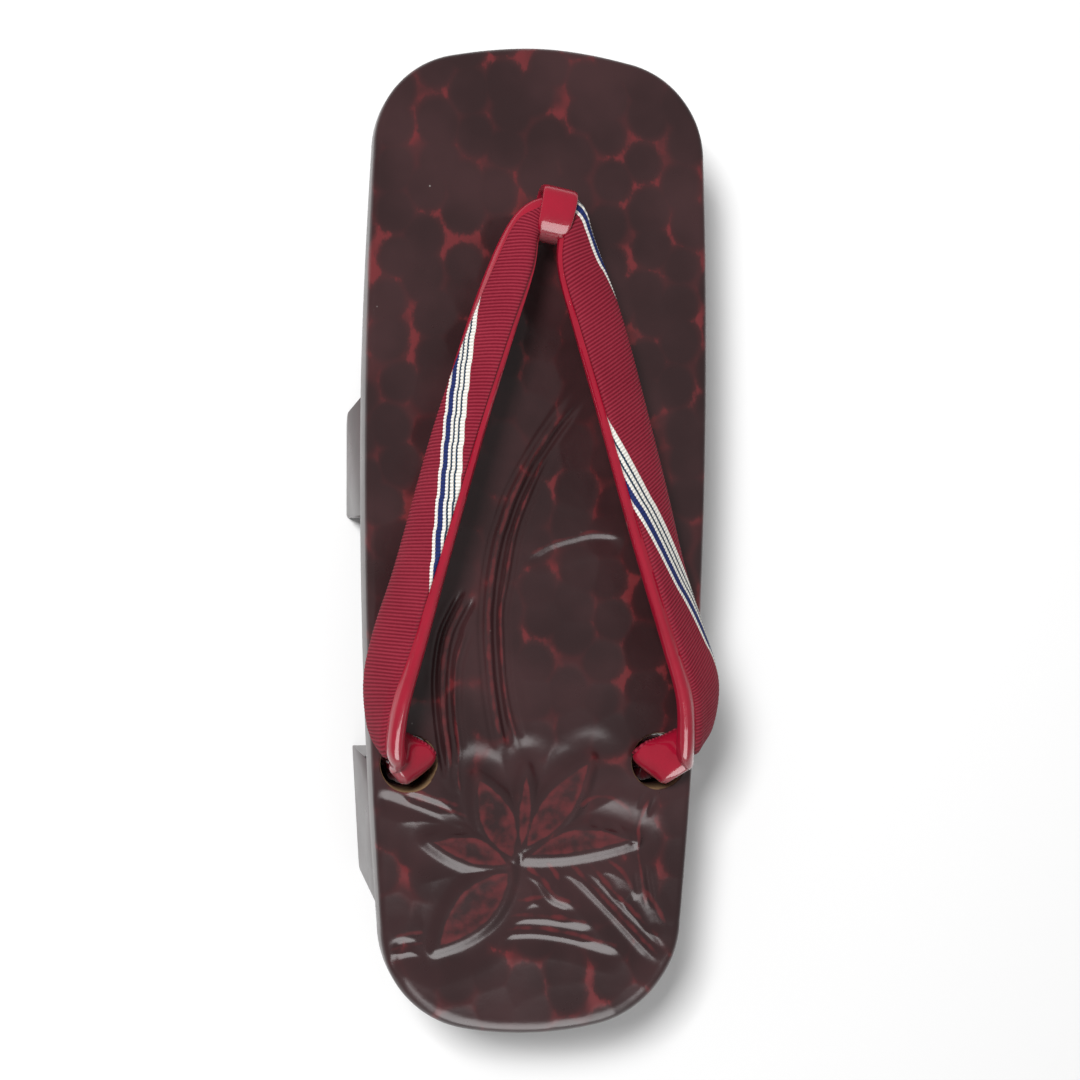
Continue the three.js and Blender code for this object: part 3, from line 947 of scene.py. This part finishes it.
def hole_cutter():
    """The three cord holes with eased rims, as one solid to cut away."""
    points, faces = [], []
    left_hole = {**REAR_HOLE, "x": -REAR_HOLE["x"]}
    for hole in (left_hole, REAR_HOLE, TOE_HOLE):
        radius, top = hole["radius"], DECK_TOP - 0.1
        profile = [(radius, underside_at(hole["y"]) - 3), (radius, top - 0.7)]
        profile += [(radius + 0.2, top - 0.25), (radius + 1.4, top + 1.4)]
        ring_points, ring_faces = lathe(profile, hole["x"], hole["y"])
        first = len(points)
        points += ring_points.tolist()
        faces += [[first + i for i in face] for face in ring_faces]
    return new_piece("hole_cutter", points, faces, None)


def cut_by(piece, cutter):
    """Cuts the cutter out of the piece for good."""
    cut = piece.modifiers.new("holes", "BOOLEAN")
    cut.operation = "DIFFERENCE"
    cut.solver = "EXACT"
    cut.object = cutter
    apply_modifiers(piece)
    bpy.data.objects.remove(cutter)


def mark_deck(mesh, settings):
    """Writes where the deck's top coat is rubbed and where its wood is bare."""
    co = np.zeros(len(mesh.vertices) * 3)
    mesh.vertices.foreach_get("co", co)
    x, y, z = co.reshape(-1, 3).T / MM
    height, ridge, crest = deck_surface(settings, x, y)
    on_top = smooth(z - DECK_TOP, -4.5, -2.2)
    bare = np.zeros(x.shape)
    for hole_x in (-REAR_HOLE["x"], REAR_HOLE["x"]):
        away = np.hypot(x - hole_x, y - REAR_HOLE["y"]) - REAR_HOLE["radius"]
        bare = np.maximum(bare, (away < 0.35) & (z > DECK_TOP - 4) & (z < DECK_TOP - 0.05 + height))
    write_attribute(mesh, "ridge", ridge * on_top)
    write_attribute(mesh, "crest", crest * on_top)
    write_attribute(mesh, "bare", bare)


# ---- supports ----

SUPPORT_EASE = 0.7  # how far the supports' edges are eased


def rounded_copy(node, name, finish):
    """The support's own shape with its edges eased."""
    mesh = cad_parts[node].data.copy()
    mesh.name = name
    mesh.materials.clear()
    mesh.materials.append(finish)
    body = bmesh.new()
    body.from_mesh(mesh)
    bmesh.ops.remove_doubles(body, verts=body.verts, dist=1e-6)
    bmesh.ops.dissolve_limit(body, angle_limit=math.radians(1), verts=body.verts, edges=body.edges)
    body.to_mesh(mesh)
    body.free()
    piece = linked(name, mesh)
    ease = piece.modifiers.new("eased edges", "BEVEL")
    ease.width = SUPPORT_EASE * MM
    ease.segments = 3
    ease.limit_method = "ANGLE"
    ease.angle_limit = math.radians(35)
    ease.harden_normals = True
    apply_modifiers(piece)
    shade(piece.data, 40)
    return piece


# ---- strap ----

CLOTH_PROUD = 0.22  # the cloth stands this far above the lining
CLOTH_THICK = 0.7  # the cloth with its backing
CLOTH_START = 0.02  # the cloth begins this far round from the seam, in radians
CLOTH_TUCK = 0.45  # how far the cloth's edges turn in below the lining
SEAM_DEPTH = 0.55  # the groove along the seam between roll and cloth
SEAM_SPREAD = 0.16  # and how far round the section it spreads, in radians
ROLL_PROUD = 0.28  # the patent roll stands this far above the band
CLOTH_BED = 0.25  # the lining lies this much lower under the cloth


class Band:
    """The strap's middle line and frames, read at evenly spaced stations."""

    def __init__(self, spacing):
        sections = [self.section(row, -1) for row in reversed(STRAP_SECTIONS)]
        sections += [self.section(row, 1) for row in STRAP_SECTIONS]
        middles = [section["middle"] for section in sections]
        dense = np.linspace(0, len(sections) - 1, 6000)
        lengths = path_lengths(spline(middles, dense))
        count = int(lengths[-1] / spacing) + 1
        self.lengths = np.linspace(0, lengths[-1], count)
        t = np.interp(self.lengths, lengths, dense)
        self.middle = eased(spline(middles, t), BEND_EASE / spacing)
        self.along = unit(np.gradient(self.middle, axis=0))
        across = eased(spline([section["edge"] for section in sections], t), BEND_EASE / spacing)
        across -= (across * self.along).sum(1, keepdims=True) * self.along
        self.across = unit(across)
        self.outward = np.cross(self.across, self.along)
        self.size = spline([section["size"] for section in sections], t)
        turn_over = np.interp(len(STRAP_SECTIONS) - 0.5, dense, lengths)
        self.from_thong = self.lengths - turn_over  # negative on the left arm
        self.side = np.where(self.from_thong < 0, -1, 1)

    @staticmethod
    def section(row, side):
        arm = "left" if side < 0 else "right"
        aim, rise = math.radians(row["aim"]), math.radians(row["rise_" + arm])
        level = math.cos(rise)
        edge = (-side * level * math.cos(aim), level * math.sin(aim), math.sin(rise))
        return {
            "middle": (side * row[arm], row["y"], DECK_TOP + row["lift"]),
            "edge": edge,
            "size": (row["width"], row["thick"], row["roll_" + arm], row["wrap_" + arm]),
        }

    def seam_angle(self):
        """Angle round the section, from the upper edge over the outside, at which the cloth begins."""
        share = 1 - 2 * self.size[:, 2] / self.size[:, 0]
        return np.arccos(np.clip(squared(share, 1 / BAND_SQUARENESS), -1, 1))

    def surface(self, angles, proud):
        """Points round each station's section, standing proud of it by a width."""
        a = squared(np.cos(angles), BAND_SQUARENESS) * (self.size[:, :1] / 2 + proud)
        o = squared(np.sin(angles), BAND_SQUARENESS) * (self.size[:, 1:2] / 2 + proud)
        return ringed(self.middle, a, self.across, o, self.outward)


def lining_piece(finish):
    """The padded body of the strap in patent leather, with a roll along its upper edge."""
    band = Band(0.5)
    sides = 44
    angles = angles_round(sides)[None, :]
    seam = band.seam_angle()[:, None]
    from_seam = angles - seam
    groove = -SEAM_DEPTH * np.exp(-((from_seam / SEAM_SPREAD) ** 2))
    roll = ROLL_PROUD * smooth(-from_seam, 0.05, 0.6) * smooth(np.cos(angles), -0.2, 0.6)
    under_cloth = -CLOTH_BED * smooth(from_seam, 0.1, 0.3) * (angles < math.pi + 0.3)
    points = band.surface(np.broadcast_to(angles, (len(band.middle), sides)), groove + roll + under_cloth)
    faces = tube_faces(len(points), sides)
    return new_piece("strap_lining", points.reshape(-1, 3), faces, finish)


# Where the left edge of a group of stripes crosses each arm: the place across the band, positive to
# the wearer's right, at a distance from the thong, its slant in degrees, and how far across the
# groups repeat.
PLAIN_BEFORE = -2  # plain cloth before the first group
STRIPE_LINES = {
    -1: {"across": 5.9, "from_thong": 94.0, "slant": 13.4, "groups_end": 15},
    1: {"across": -4.8, "from_thong": 78.5, "slant": 17.0, "groups_end": 40},
}


def cloth_piece(settings, finish):
    """The ribbed cloth over the outer face of the strap, with real ribs and turned edges."""
    pitch, rib_height = settings.rib_pitch / MM, settings.rib_height / MM
    band = Band(pitch / 5)
    stations = len(band.middle)
    seam = band.seam_angle()[:, None]
    low_edge = math.pi + np.radians(band.size[:, 3:4])
    outer_count, inner_count = 26, 8
    share = np.linspace(0, 1, outer_count)[None, :]
    start = seam + CLOTH_START
    angles = start + (low_edge - start) * share
    tucked = 1 - smooth(share, 0, 0.07) * smooth(1 - share, 0, 0.06)
    plain = band.surface(angles, 0.0)
    steps = np.linalg.norm(np.diff(plain, axis=1), axis=2)
    around = np.concatenate([np.zeros((stations, 1)), np.cumsum(steps, axis=1)], axis=1)
    top = np.array([np.interp(math.pi / 2, angles[k], around[k]) for k in range(stations)])
    side = band.side[:, None]
    to_right = side * (around - top[:, None])
    distance = np.abs(band.from_thong)[:, None]
    across_stripe, along_stripe = np.zeros(to_right.shape), np.zeros(to_right.shape)
    for arm, line in STRIPE_LINES.items():
        slant = math.radians(line["slant"])
        on_arm = np.broadcast_to(side == arm, to_right.shape)
        edge = line["across"] + math.tan(slant) * (distance - line["from_thong"])
        from_edge = np.clip((to_right - edge) * math.cos(slant), PLAIN_BEFORE, line["groups_end"])
        across_stripe = np.where(on_arm, from_edge, across_stripe)
        along = distance * math.cos(slant) + to_right * math.sin(slant)
        along_stripe = np.where(on_arm, along, along_stripe)
    ribs = rib_height * (0.5 + 0.5 * np.cos(2 * math.pi * along_stripe / pitch)) * (1 - tucked)
    outer = band.surface(angles, CLOTH_PROUD + ribs - (CLOTH_PROUD + CLOTH_TUCK) * tucked)
    inner_angles = start + (low_edge - start) * np.linspace(1, 0, inner_count)[None, :]
    inner = band.surface(inner_angles, CLOTH_PROUD - CLOTH_THICK)
    points = np.concatenate([outer, inner], axis=1)
    sides = outer_count + inner_count
    piece = new_piece("strap_cloth", points.reshape(-1, 3), tube_faces(stations, sides), finish, 60)
    pad = np.zeros((stations, inner_count))
    for name, values in (("across_stripe", across_stripe), ("along_stripe", along_stripe)):
        write_attribute(piece.data, name, np.concatenate([values, pad], axis=1).ravel())
    return piece


# ---- toe thong ----

# The thong's band from the front of the post, up over the strap's junction and down to the post
# again. ahead is towards the toe from the hole, lift above the deck.
THONG_ROWS = table("ahead lift wide thick", [
    (2.0, -9.6, 5.4, 2.9), (2.0, 1.0, 5.6, 2.9), (2.5, 6.0, 6.2, 2.6), (4.6, 9.4, 7.4, 2.0),
    (5.9, 13.0, 8.0, 1.9), (5.6, 17.2, 8.2, 1.9), (4.1, 19.5, 8.2, 1.9), (0.6, 20.0, 8.0, 1.9),
    (-2.4, 19.2, 7.6, 1.9), (-4.4, 17.0, 6.4, 1.9), (-5.1, 13.4, 5.4, 2.0), (-3.8, 9.4, 5.2, 2.2),
    (-1.8, 6.0, 5.3, 2.6), (-1.2, 1.0, 5.2, 2.9), (-1.2, -9.6, 5.0, 2.9),
])
THONG_TURN = -11  # degrees about the post
THONG_PLACE = (-0.2, 75.2)  # the middle of the thong in plan


def thong_piece(finish):
    rows = np.array([[row["ahead"], row["lift"], row["wide"], row["thick"]] for row in THONG_ROWS])
    t = np.linspace(0, len(rows) - 1, 220)
    read = spline(rows, t)
    path, wide, thick = read[:, :2], read[:, 2:3], read[:, 3:4]
    along = unit(np.gradient(path, axis=0))
    out = np.stack([-along[:, 1], along[:, 0]], axis=-1)
    sides = 36
    angles = angles_round(sides)[None, :]

    side = squared(np.cos(angles), 0.30) * wide / 2
    proud = squared(np.sin(angles), 0.55) * thick / 2
    proud = proud + 0.22 * np.cos(math.pi * side / wide) * np.sign(np.sin(angles)).clip(0)
    ahead = path[:, :1] + proud * out[:, :1]
    lift = path[:, 1:2] + proud * out[:, 1:2]
    turn = math.radians(THONG_TURN)
    x = THONG_PLACE[0] + side * math.cos(turn) - ahead * math.sin(turn)
    y = THONG_PLACE[1] + side * math.sin(turn) + ahead * math.cos(turn)
    points = np.stack([x, y, DECK_TOP + lift], axis=-1)
    return new_piece("toe_thong_patent", points.reshape(-1, 3), tube_faces(len(t), sides), finish, 50)


# ---- knots ----

KNOTS = table("node x y radius high cord", [
    ("toe_knot", TOE_HOLE["x"], TOE_HOLE["y"], 5.6, 7.6, 1.65),
    ("heel_knot_left", -REAR_HOLE["x"], REAR_HOLE["y"], 6.6, 8.4, 1.95),
    ("heel_knot_right", REAR_HOLE["x"], REAR_HOLE["y"], 6.6, 8.4, 1.95),
])


def knot_piece(knot, finish):
    """An overhand knot pulled tight, of two-ply cord, in the space its solid holds."""
    turns, sides = 320, 20
    t = angles_round(turns)
    reach = (knot["radius"] - knot["cord"]) / 3
    x, y = reach * (np.sin(t) + 2 * np.sin(2 * t)), reach * (np.cos(t) - 2 * np.cos(2 * t))
    path = np.stack([x, y, -(knot["high"] / 2 - knot["cord"]) * np.sin(3 * t)], axis=-1)
    along = unit(np.roll(path, -1, axis=0) - np.roll(path, 1, axis=0))
    flat = unit(np.cross(along, (0, 0, 1)))
    up = np.cross(flat, along)
    angles = angles_round(sides)[None, :]
    twist = 24 * t[:, None]
    ply = knot["cord"] * (0.93 + 0.07 * np.cos(2 * angles - twist))
    points = ringed(path, ply * np.cos(angles), flat, ply * np.sin(angles), up)
    top = underside_at(knot["y"]) - 0.3
    points = points + np.array([knot["x"], knot["y"], top - knot["high"] / 2])
    faces = tube_faces(turns, sides, closed_ends=False)
    last = (turns - 1) * sides
    faces += [(last + k, last + (k + 1) % sides, (k + 1) % sides, k) for k in range(sides)]
    return new_piece(knot["node"] + "_tied", points.reshape(-1, 3), faces, finish, 80)


# ---- operators ----


class CLOG_OT_deck(Operator):
    """Make the carved deck with its gouge marks, flower and cord holes"""

    bl_idname = "clog.deck"
    bl_label = "Carve the deck"

    def execute(self, context):
        settings = context.scene.clog_lacquer
        finish = lacquer(settings, "rubbed_lacquer", worn=True)
        points, faces = deck_blank(settings)
        deck = new_piece("deck_carved", points, faces, finish)
        cut_by(deck, hole_cutter())
        shade(deck.data, 75)
        mark_deck(deck.data, settings)
        settle(deck, "lacquered_wood", "deck")
        return {"FINISHED"}


class CLOG_OT_supports(Operator):
    """Make the front tooth and the heel block"""

    bl_idname = "clog.supports"
    bl_label = "Make the supports"

    def execute(self, context):
        finish = lacquer(context.scene.clog_lacquer, "plain_lacquer", worn=False)
        for node in ("front_tooth", "heel_block"):
            support = rounded_copy(node, node + "_eased", finish)
            settle(support, "lacquered_wood", node)
        return {"FINISHED"}


class CLOG_OT_strap(Operator):
    """Make the padded strap: patent lining and ribbed cloth"""

    bl_idname = "clog.strap"
    bl_label = "Sew the strap"

    def execute(self, context):
        settings = context.scene.clog_strap
        lining = lining_piece(patent_leather(settings, "patent_lining"))
        settle(lining, "patent_leather", "strap")
        cloth = cloth_piece(settings, ribbed_cloth(settings, "ribbed_cloth"))
        settle(cloth, "strap_cloth", "strap")
        return {"FINISHED"}


class CLOG_OT_thong(Operator):
    """Make the toe thong that holds the strap's middle"""

    bl_idname = "clog.thong"
    bl_label = "Make the toe thong"

    def execute(self, context):
        thong = thong_piece(patent_leather(context.scene.clog_strap, "patent_thong"))
        settle(thong, "patent_leather", "toe_thong")
        return {"FINISHED"}


class CLOG_OT_knots(Operator):
    """Tie the knots under the deck"""

    bl_idname = "clog.knots"
    bl_label = "Tie the knots"

    def execute(self, context):
        finish = twisted_cord(context.scene.clog_strap, "twisted_cord")
        for knot in KNOTS:
            settle(knot_piece(knot, finish), "tie_cord", knot["node"])
        return {"FINISHED"}


def aimed(location, target):
    """Turns something that looks along its own -Z from a place to a target."""
    turn = (Vector(target) - Vector(location)).to_track_quat("-Z", "Y")
    matrix = turn.to_matrix().to_4x4()
    matrix.translation = Vector(location)
    return matrix


FLOOR_HALF = 2500  # millimetres from the middle to the floor's edge
CAMERA_PLACE = (-0.096, 0.003)  # in metres, and at the camera's height
CAMERA_AIM = (0.0005, 0.0005)  # the point on the deck that it looks at

# lights and shines say whether a panel lights things up and whether it shows in their gloss.
LIGHTS = table("name place width height power lights shines", [
    ("heel_softbox", (0.05, -0.80, 0.50), 0.8, 0.8, 13.0, False, True),
    ("key", (-0.33, 0.24, 1.00), 0.20, 0.20, 11.6, True, False),
])


class CLOG_OT_stage(Operator):
    """Lay the floor and set the light and the camera"""

    bl_idname = "clog.stage"
    bl_label = "Set the stage"

    def execute(self, context):
        settings = context.scene.clog_stage
        finish = Finish("plain_floor")
        tone = finish.mixed(finish.noise(400, 2), rgba(settings.floor), rgba(settings.floor, 0.985))
        material = finish.finished(Base_Color=tone, Roughness=0.8)
        far = FLOOR_HALF
        corners = [(-far, -far, 0), (far, -far, 0), (far, far, 0), (-far, far, 0)]
        floor = new_piece("floor", corners, [(0, 1, 2, 3)], material)

        world = bpy.data.worlds.new("even_light")
        world.use_nodes = True
        background = world.node_tree.nodes["Background"]
        background.inputs["Color"].default_value = (1, 1, 1, 1)
        background.inputs["Strength"].default_value = settings.daylight
        context.scene.world = world

        for row in LIGHTS:
            light = bpy.data.lights.new(row["name"], "AREA")
            light.shape = "RECTANGLE"
            light.size, light.size_y, light.energy = row["width"], row["height"], row["power"]
            lamp = linked(row["name"], light)
            lamp.matrix_world = aimed(row["place"], (0, 0, 0.04))
            lamp.visible_diffuse = row["lights"]
            lamp.visible_glossy = row["shines"]

        data = bpy.data.cameras.new("camera")
        data.lens = settings.lens
        camera = linked("camera", data)
        place = Vector((*CAMERA_PLACE, settings.camera_height))
        target = Vector((*CAMERA_AIM, DECK_TOP * MM))
        back = (place - target).normalized()
        up = Vector((0, 1, 0))
        right = up.cross(back).normalized()
        up = back.cross(right)
        turn, lean = math.cos(settings.roll), math.sin(settings.roll)
        right, up = right * turn + up * lean, up * turn - right * lean
        camera.matrix_world = Matrix((right, up, back)).transposed().to_4x4()
        camera.matrix_world.translation = place
        context.scene.camera = camera
        context.scene.view_settings.view_transform = "Standard"
        return {"FINISHED"}


class CLOG_PT_panel(Panel):
    bl_idname = "CLOG_PT_panel"
    bl_label = "Carved clog"
    bl_space_type = "VIEW_3D"
    bl_region_type = "UI"
    bl_category = "Clog"

    def draw(self, context):
        for group in ("clog_lacquer", "clog_strap", "clog_stage"):
            settings = getattr(context.scene, group)
            box = self.layout.box()
            for name in settings.bl_rna.properties.keys():
                if name not in {"rna_type", "name"}:
                    box.prop(settings, name)
        for operator in OPERATORS:
            self.layout.operator(operator.bl_idname)


GROUPS = {"clog_lacquer": ClogLacquer, "clog_strap": ClogStrap, "clog_stage": ClogStage}
OPERATORS = [CLOG_OT_deck, CLOG_OT_supports, CLOG_OT_strap, CLOG_OT_thong, CLOG_OT_knots, CLOG_OT_stage]


def register():
    for name, group in GROUPS.items():
        bpy.utils.register_class(group)
        setattr(bpy.types.Scene, name, PointerProperty(type=group))
    for operator in OPERATORS:
        bpy.utils.register_class(operator)
    bpy.utils.register_class(CLOG_PT_panel)


def unregister():
    bpy.utils.unregister_class(CLOG_PT_panel)
    for operator in reversed(OPERATORS):
        bpy.utils.unregister_class(operator)
    for name, group in GROUPS.items():
        delattr(bpy.types.Scene, name)
        bpy.utils.unregister_class(group)


def main():
    register()
    bpy.ops.clog.deck()
    bpy.ops.clog.supports()
    bpy.ops.clog.strap()
    bpy.ops.clog.thong()
    bpy.ops.clog.knots()
    bpy.ops.clog.stage()


if __name__ == "__main__":
    main()
